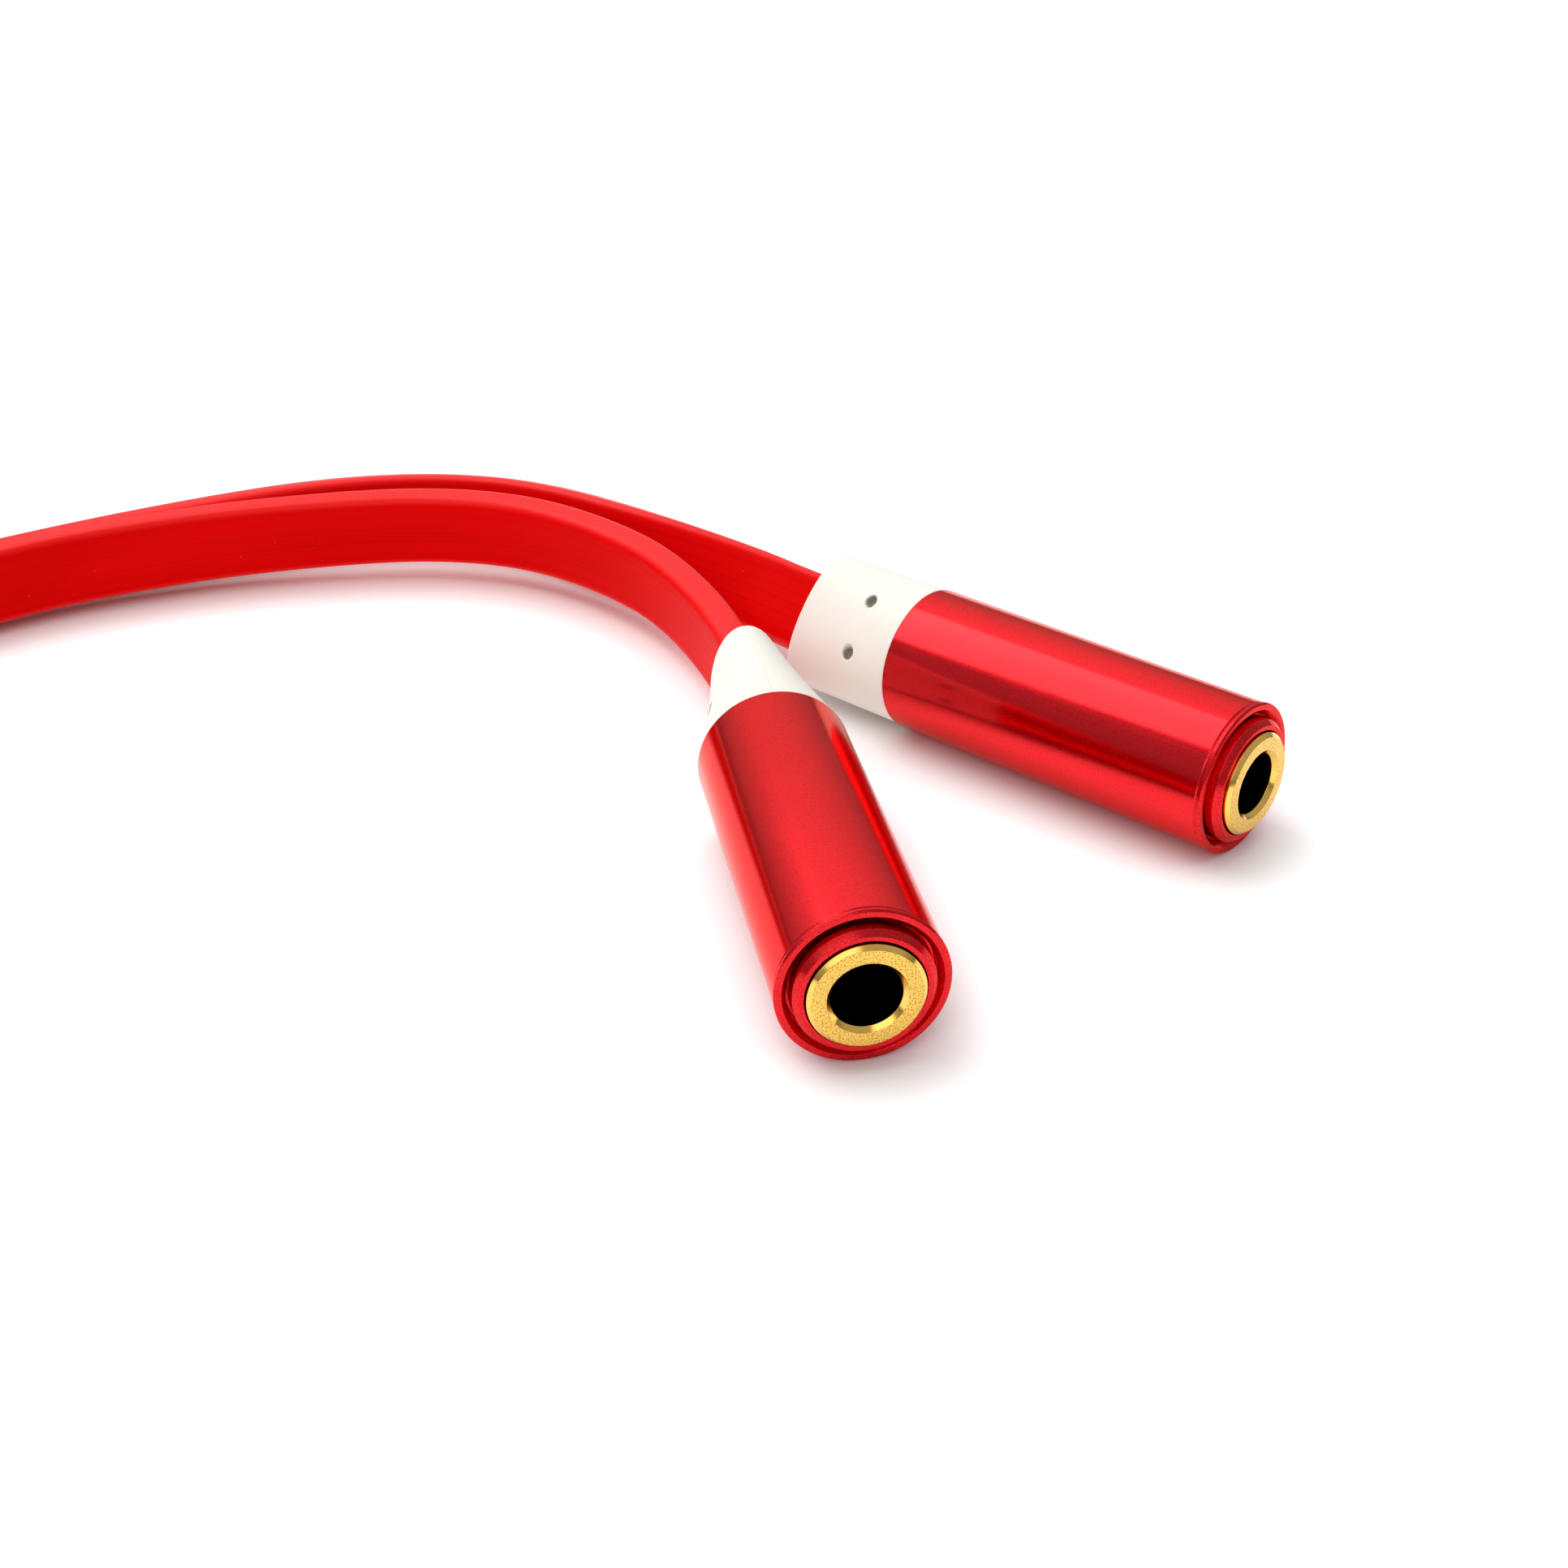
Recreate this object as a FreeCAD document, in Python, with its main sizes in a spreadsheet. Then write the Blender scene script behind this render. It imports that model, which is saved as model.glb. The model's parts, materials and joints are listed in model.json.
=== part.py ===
import FreeCAD, Part
import math
import os
import Sketcher

# Stereo splitter lead: one 3.5 mm plug and two in-line 3.5 mm sockets, joined by two flat cords.
#
# Row frame: +Z up, z = 0 is the table, the origin lies under the middle of the two sockets, and
# socket A faces -Y. Lengths are in millimetres.
#
# A socket or plug has its own frame: its axis is Y, its mouth faces -Y, and y = 0 is its front face.
# Each lies on its lip and on the rear edge of its barrel, so its front is raised by a small tilt.

Vector = FreeCAD.Vector
Rotation = FreeCAD.Rotation
Placement = FreeCAD.Placement
X_DIR = Vector(1, 0, 0)
Y_DIR = Vector(0, 1, 0)
Z_DIR = Vector(0, 0, 1)

doc = FreeCAD.newDocument("splitter_lead")


# ---------------------------------------------------------------- driving dimensions

class Size:
    """A length that carries its value and the sheet expression that gives it."""

    def __init__(self, value, text):
        self.value = value
        self.text = text

    def __add__(self, other):
        other = as_size(other)
        return Size(self.value + other.value, "(%s + %s)" % (self.text, other.text))

    def __sub__(self, other):
        other = as_size(other)
        return Size(self.value - other.value, "(%s - %s)" % (self.text, other.text))

    def __neg__(self):
        return Size(-self.value, "(0 - %s)" % self.text)

    def half(self):
        return Size(self.value / 2, "(%s / 2)" % self.text)


def as_size(value):
    return value if isinstance(value, Size) else Size(float(value), "%g" % value)


DIMENSIONS = [
    # barrel of a socket or plug
    ("barrel_radius", 4.4, "outside of the barrel"),
    ("barrel_bore", 3.5, "inside of the barrel"),
    ("lip_radius", 4.45, "lip round the front of the barrel"),
    ("lip_front", 1.0, "front of the lip, behind the ring face"),
    ("lip_rear", 1.4, "rear of the lip"),
    ("lip_bevel", 0.12, "bevel on both sides of the lip"),
    ("barrel_rear", 23.3, "rear edge of the barrel"),
    ("boss_radius", 3.62, "boss in front of the lip"),
    ("boss_front", 0.38, "front of the boss"),
    ("boss_bevel", 0.3, "bevel on the boss"),
    ("groove_radius", 3.92, "outer wall of the groove round the boss"),
    ("groove_floor", 1.9, "floor of the groove"),
    ("front_wall_rear", 2.4, "rear of the barrel's front wall"),
    ("front_hole", 3.08, "hole in the front wall"),
    # bush, the sleeve contact of a socket
    ("ring_radius", 3.0, "ring face"),
    ("ring_bevel", 0.22, "bevel round the ring face"),
    ("bush_bore", 1.8, "bore for the plug"),
    ("bush_sink", 0.25, "countersink of the bore"),
    ("collar_radius", 3.45, "collar behind the front wall"),
    ("collar_rear", 3.4, "rear of the collar"),
    ("bush_tail_radius", 3.2, "tail of the bush"),
    ("bush_rear", 7.1, "rear of the bush"),
    # carrier and contacts
    ("carrier_radius", 3.4, "outside of the carrier"),
    ("carrier_bore", 2.0, "space for the plug in the carrier"),
    ("carrier_bore_end", 15.2, "end of that space"),
    ("carrier_rear", 18.0, "rear of the carrier"),
    ("slot_width", 1.8, "slot for a contact"),
    ("slot_floor", 2.2, "radius of the slot's floor behind the bore"),
    ("slot_lead", 1.3, "slot in front of the contact's crest"),
    ("leaf_width", 1.4, "width of a contact"),
    ("leaf_thickness", 0.25, "thickness of a contact"),
    ("leaf_radius", 2.6, "inner face of the contact at its root"),
    ("leaf_root", 15.6, "front of the contact's straight root"),
    ("leaf_rear", 18.6, "rear end of the contact"),
    ("leaf_crest_radius", 1.45, "crest of the contact, inside the plug's radius"),
    ("leaf_crest_length", 0.4, "length of the crest"),
    ("leaf_nose", 0.9, "lead-in in front of the crest"),
    ("leaf_nose_rise", 0.55, "rise of the lead-in"),
    ("tip_crest", 12.3, "crest of the tip contact"),
    ("ring_crest", 9.2, "crest of the ring contact"),
    ("lug_radius", 2.9, "inner face of the ground lug"),
    ("lug_thickness", 0.3, "thickness of the ground lug"),
    ("lug_width", 1.6, "width of the ground lug"),
    ("lug_rear", 18.8, "rear end of the ground lug"),
    ("lug_clearance", 0.05, "play round the ground lug"),
    # inner mould and boot
    ("mould_front", 19.4, "front of the inner mould"),
    ("mould_step", 21.3, "step where the boot starts inside the barrel"),
    ("mould_radius", 3.45, "mould and boot inside the barrel"),
    ("mould_neck_radius", 3.0, "neck of the mould"),
    ("mould_rear", 25.0, "rear of the mould's neck"),
    ("boot_radius", 4.32, "boot where it meets the barrel"),
    ("boot_rear", 32.4, "end of the boot"),
    ("boot_waist", 27.8, "section between the round and flat ends of the boot"),
    ("boot_waist_half_height", 4.31, "half height there"),
    ("boot_end_half_width", 2.09, "half width of a socket boot's end"),
    ("plug_boot_end_half_width", 2.85, "half width of the plug boot's end"),
    ("boot_end_half_height", 4.3, "half height of a boot's end"),
    ("dimple_radius", 0.42, "dimple in the boot"),
    ("dimple_floor", 2.5, "distance of a dimple's floor from the middle plane"),
    ("dimple_place", 26.8, "dimples, behind the ring face"),
    ("dimple_spread", 1.7, "dimple above or below the axis"),
    # cords and wires
    ("cord_width", 5.2, "width of the flat cord, which stands on edge"),
    ("cord_thickness", 2.1, "thickness of the flat cord"),
    ("cord_corner", 0.6, "rounding of the flat cord's corners"),
    ("cord_start", 28.0, "end of the cord inside a boot"),
    ("pair_spacing", 2.4, "distance between the two cords, side by side"),
    ("wire_radius", 0.4, "insulated wire"),
    ("wire_row", 1.5, "distance between wires in the cord"),
    ("wire_clearance", 0.02, "play of a wire in the mould"),
    ("wire_gap", 0.15, "distance from a contact's end to its wire"),
    ("solder_gap", 0.03, "solder between a plug terminal and its wire"),
    # pin of the plug, which stands in front of its face
    ("pin_radius", 1.75, "outside of the pin, its insulators included"),
    ("pin_length", 14.0, "pin, from the face to the end of the tip"),
    ("tip_root", 10.9, "rear of the tip"),
    ("ring_front", 10.3, "front of the ring"),
    ("ring_rear", 7.9, "rear of the ring"),
    ("sleeve_front", 7.3, "front of the sleeve"),
    ("tip_crown", 12.5, "widest place of the tip"),
    ("tip_neck", 11.5, "narrowest place of the tip"),
    ("tip_neck_radius", 1.3, "radius there"),
    ("tip_point_radius", 0.6, "flat end of the tip"),
    ("rod_radius", 0.6, "rod of the tip inside the pin"),
    ("inner_tube_radius", 0.95, "insulating tube round the rod"),
    ("ring_tube_radius", 1.25, "tube of the ring inside the pin"),
    ("outer_tube_radius", 1.45, "insulating tube round the ring's tube"),
    ("sleeve_tail_radius", 2.5, "tail of the sleeve inside the plug"),
    ("sleeve_rear", 5.0, "rear end of the sleeve"),
    ("outer_tube_rear", 5.5, "rear end of the outer insulating tube"),
    ("ring_tube_rear", 6.5, "rear end of the ring's tube"),
    ("inner_tube_rear", 8.0, "rear end of the inner insulating tube"),
    ("rod_rear", 9.0, "rear end of the rod"),
    ("plug_mould_front", 10.0, "front of the plug's inner mould"),
]

sheet = doc.addObject("Spreadsheet::Sheet", "dims")
dim = {}
for row, (alias, value, note) in enumerate(DIMENSIONS, start=1):
    sheet.set("A%d" % row, alias)
    sheet.set("B%d" % row, "%g" % value)
    sheet.set("C%d" % row, note)
    sheet.setAlias("B%d" % row, alias)
    dim[alias] = Size(value, "dims." + alias)
doc.recompute()


def length(alias):
    """The value of a sheet cell, for shapes that are made with Part's own functions."""
    return float(sheet.get(alias))


# ---------------------------------------------------------------- where each connector lies

# Front face of each connector: x and y, and the turn about Z and about its own axis, in degrees.
CONNECTORS = {
    "socket_a": {"x": -11.98, "y": -21.29, "yaw": 0.0, "roll": 180.0},
    "socket_b": {"x": 13.54, "y": -6.72, "yaw": 36.95, "roll": 40.0},
    "plug": {"x": -83.98, "y": -23.49, "yaw": 0.0, "roll": 0.0},
}

# The rear face of the lip's straight part and the barrel's rear edge touch the table.
REST_FRONT = length("lip_rear") - length("lip_bevel")
TILT = math.asin((length("lip_radius") - length("barrel_radius")) / (length("barrel_rear") - REST_FRONT))


def connector_placement(name):
    place = CONNECTORS[name]
    face_height = length("lip_radius") * math.cos(TILT) + REST_FRONT * math.sin(TILT)
    turn = Rotation(Z_DIR, place["yaw"])
    turn = turn.multiply(Rotation(X_DIR, -math.degrees(TILT)))
    turn = turn.multiply(Rotation(Y_DIR, place["roll"]))
    return Placement(Vector(place["x"], place["y"], face_height), turn)


# ---------------------------------------------------------------- sketches and features

def add_body(label):
    body = doc.addObject("PartDesign::Body", label)
    body.Label = label
    return body


def origin_plane(body, role):
    for feature in body.Origin.OriginFeatures:
        if feature.Role == role:
            return feature
    raise RuntimeError("no origin plane " + role)


def add_sketch(body, name, role):
    sketch = body.newObject("Sketcher::SketchObject", name)
    sketch.AttachmentSupport = [(origin_plane(body, role), "")]
    sketch.MapMode = "FlatFace"
    return sketch


def bind(sketch, kind, first, value, *more):
    """Add a dimension to a sketch and bind it to the sheet."""
    arguments = list(first) + [value.value]
    index = sketch.addConstraint(Sketcher.Constraint(kind, *arguments))
    sketch.setExpression("Constraints[%d]" % index, value.text)


def polygon_sketch(body, name, role, points):
    """A closed outline of straight lines, each corner placed by two bound dimensions."""
    sketch = add_sketch(body, name, role)
    corners = [(as_size(u), as_size(v)) for u, v in points]
    count = len(corners)
    for index in range(count):
        start = Vector(corners[index][0].value, corners[index][1].value, 0)
        after = corners[(index + 1) % count]
        sketch.addGeometry(Part.LineSegment(start, Vector(after[0].value, after[1].value, 0)), False)
    for index in range(count):
        sketch.addConstraint(Sketcher.Constraint("Coincident", index, 2, (index + 1) % count, 1))
    for index, (u, v) in enumerate(corners):
        bind(sketch, "DistanceX", (-1, 1, index, 1), u)
        bind(sketch, "DistanceY", (-1, 1, index, 1), v)
    return sketch


def turned_body(label, outline):
    """A body turned about its Y axis. Each corner of the outline is (radius, place along Y)."""
    body = add_body(label)
    sketch = polygon_sketch(body, label + "_outline", "XY_Plane", outline)
    turn = body.newObject("PartDesign::Revolution", label + "_turn")
    turn.Profile = sketch
    turn.ReferenceAxis = (sketch, ["V_Axis"])
    turn.Angle = 360
    body.Tip = turn
    return body


def cut_symmetric(body, name, sketch, width):
    """A pocket of the given width, half to each side of the sketch."""
    doc.recompute()
    before = body.Shape.Volume
    pocket = body.newObject("PartDesign::Pocket", name)
    pocket.Profile = sketch
    pocket.SideType = "Symmetric"
    pocket.Length = width.value
    pocket.setExpression("Length", width.text)
    body.Tip = pocket
    doc.recompute()
    if body.Shape.Volume > before - 0.01:
        raise RuntimeError(name + " cuts nothing")


def rounded_section(body, name, place, half_width, half_height, corner):
    """A rounded rectangle about the Y axis, at the given place along it."""
    sketch = add_sketch(body, name, "XZ_Plane")
    sketch.AttachmentOffset = Placement(Vector(0, 0, -place.value), Rotation())
    sketch.setExpression("AttachmentOffset.Base.z", (-place).text)
    w, h, r = half_width.value, half_height.value, corner.value
    flats = [((w, -h + r), (w, h - r)), ((w - r, h), (-w + r, h)),
             ((-w, h - r), (-w, -h + r)), ((-w + r, -h), (w - r, -h))]
    centres = [(w - r, h - r), (-w + r, h - r), (-w + r, -h + r), (w - r, -h + r)]
    for index in range(4):
        (u0, v0), (u1, v1) = flats[index]
        sketch.addGeometry(Part.LineSegment(Vector(u0, v0, 0), Vector(u1, v1, 0)), False)
        centre = Vector(centres[index][0], centres[index][1], 0)
        circle = Part.Circle(centre, Z_DIR, r)
        start = index * math.pi / 2
        sketch.addGeometry(Part.ArcOfCircle(circle, start, start + math.pi / 2), False)
    for index in range(4):
        flat, arc = 2 * index, 2 * index + 1
        sketch.addConstraint(Sketcher.Constraint("Tangent", flat, 2, arc, 1))
        sketch.addConstraint(Sketcher.Constraint("Tangent", arc, 2, (arc + 1) % 8, 1))
    for flat, kind in ((0, "Vertical"), (2, "Horizontal"), (4, "Vertical"), (6, "Horizontal")):
        sketch.addConstraint(Sketcher.Constraint(kind, flat))
    for arc in (3, 5, 7):
        sketch.addConstraint(Sketcher.Constraint("Equal", 1, arc))
    bind(sketch, "Radius", (1,), corner)
    bind(sketch, "DistanceX", (-1, 1, 0, 1), half_width)
    bind(sketch, "DistanceY", (-1, 1, 2, 1), half_height)
    bind(sketch, "DistanceX", (-1, 1, 4, 1), -half_width)
    bind(sketch, "DistanceY", (-1, 1, 6, 1), -half_height)
    return sketch


# ---------------------------------------------------------------- shared pieces of a connector

def make_shell(label):
    """Anodised barrel: front wall with a boss, a groove round it, and a thin lip."""
    d = dim
    return turned_body(label, [
        (d["front_hole"], d["boss_front"]),
        (d["boss_radius"] - d["boss_bevel"], d["boss_front"]),
        (d["boss_radius"], d["boss_front"] + d["boss_bevel"]),
        (d["boss_radius"], d["groove_floor"]),
        (d["groove_radius"], d["groove_floor"]),
        (d["groove_radius"], d["lip_front"]),
        (d["lip_radius"] - d["lip_bevel"], d["lip_front"]),
        (d["lip_radius"], d["lip_front"] + d["lip_bevel"]),
        (d["lip_radius"], d["lip_rear"] - d["lip_bevel"]),
        (d["barrel_radius"], d["lip_rear"]),
        (d["barrel_radius"], d["barrel_rear"]),
        (d["barrel_bore"], d["barrel_rear"]),
        (d["barrel_bore"], d["front_wall_rear"]),
        (d["front_hole"], d["front_wall_rear"]),
    ])


def make_boot(label, end_half_width, slot_half_width, dimpled):
    """Strain relief: a spigot in the barrel, then a loft from round to chisel-shaped, bored and slotted."""
    d = dim
    body = turned_body(label, [
        (d["mould_neck_radius"], d["mould_step"]),
        (d["mould_radius"], d["mould_step"]),
        (d["mould_radius"], d["mould_rear"]),
        (d["mould_neck_radius"], d["mould_rear"]),
    ])
    corner_gap = 0.05
    sections = [
        rounded_section(body, label + "_round", d["barrel_rear"], d["boot_radius"], d["boot_radius"],
                        d["boot_radius"] - corner_gap),
        rounded_section(body, label + "_waist", d["boot_waist"],
                        end_half_width.half() + d["boot_radius"].half() - 0.2, d["boot_waist_half_height"],
                        end_half_width.half() + d["boot_radius"].half() - 0.25),
        rounded_section(body, label + "_end", d["boot_rear"], end_half_width, d["boot_end_half_height"],
                        d["boot_end_half_width"] - corner_gap),
    ]
    loft = body.newObject("PartDesign::AdditiveLoft", label + "_loft")
    loft.Profile = sections[0]
    loft.Sections = sections[1:]
    body.Tip = loft
    doc.recompute()

    bore = polygon_sketch(body, label + "_bore_outline", "XY_Plane", [
        (0, d["mould_step"]),
        (d["mould_neck_radius"], d["mould_step"]),
        (d["mould_neck_radius"], d["mould_rear"]),
        (0, d["mould_rear"]),
    ])
    groove = body.newObject("PartDesign::Groove", label + "_bore")
    groove.Profile = bore
    groove.ReferenceAxis = (bore, ["V_Axis"])
    groove.Angle = 360
    body.Tip = groove
    doc.recompute()

    slot = rounded_section(body, label + "_slot_outline", d["boot_rear"], slot_half_width,
                           d["cord_width"].half(), d["cord_corner"])
    pocket = body.newObject("PartDesign::Pocket", label + "_slot")
    pocket.Profile = slot
    depth = d["boot_rear"] - d["mould_rear"]
    before = body.Shape.Volume
    pocket.Reversed = False
    pocket.Length = depth.value
    pocket.setExpression("Length", depth.text)
    body.Tip = pocket
    doc.recompute()
    if body.Shape.Volume > before - 1:
        pocket.Reversed = True
        doc.recompute()
    if body.Shape.Volume > before - 1:
        raise RuntimeError(label + " slot cuts nothing")

    if dimpled:
        add_dimples(body, label)
    return body


def add_dimples(body, label):
    """Two small round dimples in the broad face on the -X side."""
    sketch = add_sketch(body, label + "_dimple_outline", "YZ_Plane")
    for index, side in enumerate((1, -1)):
        rise = dim["dimple_spread"] if side > 0 else -dim["dimple_spread"]
        centre = Vector(dim["dimple_place"].value, rise.value, 0)
        sketch.addGeometry(Part.Circle(centre, Z_DIR, dim["dimple_radius"].value), False)
        bind(sketch, "Radius", (index,), dim["dimple_radius"])
        bind(sketch, "DistanceX", (-1, 1, index, 3), dim["dimple_place"])
        bind(sketch, "DistanceY", (-1, 1, index, 3), rise)
    sketch.AttachmentOffset = Placement(Vector(0, 0, -dim["dimple_floor"].value), Rotation())
    sketch.setExpression("AttachmentOffset.Base.z", (-dim["dimple_floor"]).text)
    doc.recompute()
    before = body.Shape.Volume
    pocket = body.newObject("PartDesign::Pocket", label + "_dimples")
    pocket.Profile = sketch
    pocket.Type = "ThroughAll"
    pocket.Reversed = False
    body.Tip = pocket
    doc.recompute()
    removed = before - body.Shape.Volume
    if removed < 0.02 or removed > 2:
        pocket.Reversed = True
        doc.recompute()
    removed = before - body.Shape.Volume
    if removed < 0.02 or removed > 2:
        raise RuntimeError(label + " dimples cut %.3f mm3" % removed)


def rounded_path(points):
    """Straight runs joined by tangent arcs, each as large as its two runs allow."""
    corners = [Vector(*point) for point in points]
    edges = []
    radii = []
    start = corners[0]
    for before, corner, after in zip(corners, corners[1:], corners[2:]):
        inward = (corner - before).normalize()
        outward = (after - corner).normalize()
        half_turn = inward.getAngle(outward) / 2
        reach = 0.45 * min((corner - before).Length, (after - corner).Length)
        radii.append(reach / math.tan(half_turn))
        arc_start = corner - inward * reach
        arc_end = corner + outward * reach
        to_middle = (outward - inward).normalize()
        radius = radii[-1]
        middle = corner + to_middle * (radius / math.cos(half_turn) - radius)
        edges.append(Part.LineSegment(start, arc_start).toShape())
        edges.append(Part.Arc(arc_start, middle, arc_end).toShape())
        start = arc_end
    edges.append(Part.LineSegment(start, corners[-1]).toShape())
    return Part.Wire(edges), radii


def wire_shape(points, radius):
    """A round wire along straight runs joined by arcs."""
    path, _ = rounded_path(points)
    end_circle = Part.makeCircle(radius, points[0], points[1] - points[0])
    return path.makePipeShell([Part.Wire(end_circle)], True, False)


def make_wire(label, points):
    wire = doc.addObject("Part::Feature", label)
    wire.Label = label
    wire.Shape = wire_shape(points, length("wire_radius"))
    return wire


def make_inner_mould(label, front, wire_routes):
    """Potting round the wires, with a neck that the boot is moulded on."""
    d = dim
    blank = turned_body(label + "_blank", [
        (0, front),
        (d["mould_radius"], front),
        (d["mould_radius"], d["mould_step"]),
        (d["mould_neck_radius"], d["mould_step"]),
        (d["mould_neck_radius"], d["mould_rear"]),
        (0, d["mould_rear"]),
    ])
    channel_radius = length("wire_radius") + length("wire_clearance")
    channels = doc.addObject("Part::Feature", label + "_channels")
    channels.Shape = Part.makeCompound([wire_shape(route, channel_radius) for route in wire_routes])
    mould = doc.addObject("Part::Cut", label)
    mould.Label = label
    mould.Base = blank
    mould.Tool = channels
    return mould


# ---------------------------------------------------------------- pieces of a socket

def make_bush(label):
    d = dim
    sink_radius = d["bush_bore"] + d["bush_sink"]
    return turned_body(label, [
        (sink_radius, 0),
        (d["ring_radius"] - d["ring_bevel"], 0),
        (d["ring_radius"], d["ring_bevel"]),
        (d["ring_radius"], d["front_wall_rear"]),
        (d["collar_radius"], d["front_wall_rear"]),
        (d["collar_radius"], d["collar_rear"]),
        (d["bush_tail_radius"], d["collar_rear"]),
        (d["bush_tail_radius"], d["bush_rear"]),
        (d["bush_bore"], d["bush_rear"]),
        (d["bush_bore"], d["bush_sink"]),
    ])


def make_carrier(label):
    """Insulating body: a blind space for the plug, a slot for each contact, a flat for the lug."""
    d = dim
    body = turned_body(label, [
        (d["carrier_bore"], d["bush_rear"]),
        (d["carrier_radius"], d["bush_rear"]),
        (d["carrier_radius"], d["carrier_rear"]),
        (0, d["carrier_rear"]),
        (0, d["carrier_bore_end"]),
        (d["carrier_bore"], d["carrier_bore_end"]),
    ])
    beyond = d["carrier_radius"] + 0.5
    behind = d["carrier_rear"] + 0.5
    bore_middle = d["carrier_bore"].half()
    for name, crest, up in (("tip", d["tip_crest"], True), ("ring", d["ring_crest"], False)):
        outline = [
            (crest - d["slot_lead"], bore_middle),
            (d["carrier_bore_end"], bore_middle),
            (d["carrier_bore_end"], d["slot_floor"]),
            (behind, d["slot_floor"]),
            (behind, beyond),
            (crest - d["slot_lead"], beyond),
        ]
        if not up:
            outline = [(place, -height) for place, height in outline]
        sketch = polygon_sketch(body, "%s_%s_slot_outline" % (label, name), "YZ_Plane", outline)
        cut_symmetric(body, "%s_%s_slot" % (label, name), sketch, d["slot_width"])
    floor = d["lug_radius"] - d["lug_clearance"]
    flat = polygon_sketch(body, label + "_lug_flat_outline", "XY_Plane", [
        (floor, d["bush_rear"] - 0.5),
        (beyond, d["bush_rear"] - 0.5),
        (beyond, behind),
        (floor, behind),
    ])
    cut_symmetric(body, label + "_lug_flat", flat, d["lug_width"] + d["lug_clearance"] + d["lug_clearance"])
    return body


def make_leaf(label, crest, up):
    """Leaf contact: a straight root, a blade that leans inwards, a crest and a lead-in."""
    d = dim
    thick = d["leaf_thickness"]
    crest_rear = crest + d["leaf_crest_length"].half()
    crest_front = crest - d["leaf_crest_length"].half()
    nose = crest_front - d["leaf_nose"]
    nose_radius = d["leaf_crest_radius"] + d["leaf_nose_rise"]
    outline = [
        (d["leaf_rear"], d["leaf_radius"]),
        (d["leaf_root"], d["leaf_radius"]),
        (crest_rear, d["leaf_crest_radius"]),
        (crest_front, d["leaf_crest_radius"]),
        (nose, nose_radius),
        (nose, nose_radius + thick),
        (crest_front, d["leaf_crest_radius"] + thick),
        (crest_rear, d["leaf_crest_radius"] + thick),
        (d["leaf_root"], d["leaf_radius"] + thick),
        (d["leaf_rear"], d["leaf_radius"] + thick),
    ]
    if not up:
        outline = [(place, -height) for place, height in outline]
    body = add_body(label)
    sketch = polygon_sketch(body, label + "_outline", "YZ_Plane", outline)
    pad = body.newObject("PartDesign::Pad", label + "_pad")
    pad.Profile = sketch
    pad.SideType = "Symmetric"
    pad.Length = d["leaf_width"].value
    pad.setExpression("Length", d["leaf_width"].text)
    body.Tip = pad
    return body


def make_lug(label):
    lug = doc.addObject("Part::Box", label)
    lug.Label = label
    lug.setExpression("Length", "dims.lug_thickness")
    lug.setExpression("Width", "dims.lug_rear - dims.bush_rear")
    lug.setExpression("Height", "dims.lug_width")
    corner = Vector(length("lug_radius"), length("bush_rear"), -length("lug_width") / 2)
    return lug, Placement(corner, Rotation())


def socket_wire_routes():
    """From each contact to its place in the row of three at the end of the cord."""
    entry = length("mould_rear")
    end = length("cord_start")
    leaf_end = length("leaf_rear") + length("wire_gap")
    leaf_middle = length("leaf_radius") + length("leaf_thickness") / 2
    lug_middle = length("lug_radius") + length("lug_thickness") / 2 - length("wire_gap")
    row = length("wire_row")
    starts = {
        "tip": (Vector(0, leaf_end, leaf_middle), row),
        "ring": (Vector(0, leaf_end, -leaf_middle), -row),
        "ground": (Vector(lug_middle, length("lug_rear"), 0), 0),
    }
    routes = {}
    for name, (start, rise) in starts.items():
        routes[name] = [start, Vector(0, entry, rise), Vector(0, end, rise)]
    return routes


def make_socket(name):
    place = connector_placement(name)
    routes = socket_wire_routes()
    pieces = [
        make_shell(name + "_shell"),
        make_bush(name + "_bush"),
        make_carrier(name + "_carrier"),
        make_leaf(name + "_tip_spring", dim["tip_crest"], True),
        make_leaf(name + "_ring_spring", dim["ring_crest"], False),
        make_inner_mould(name + "_inner_mould", dim["mould_front"], list(routes.values())),
        make_boot(name + "_boot", dim["boot_end_half_width"], dim["cord_thickness"].half(), True),
    ]
    for wire, route in routes.items():
        pieces.append(make_wire("%s_%s_wire" % (name, wire), route))
    for piece in pieces:
        piece.Placement = place
    lug, corner = make_lug(name + "_ground_lug")
    lug.Placement = place.multiply(corner)
    return pieces + [lug]


# ---------------------------------------------------------------- pieces of the plug

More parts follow.
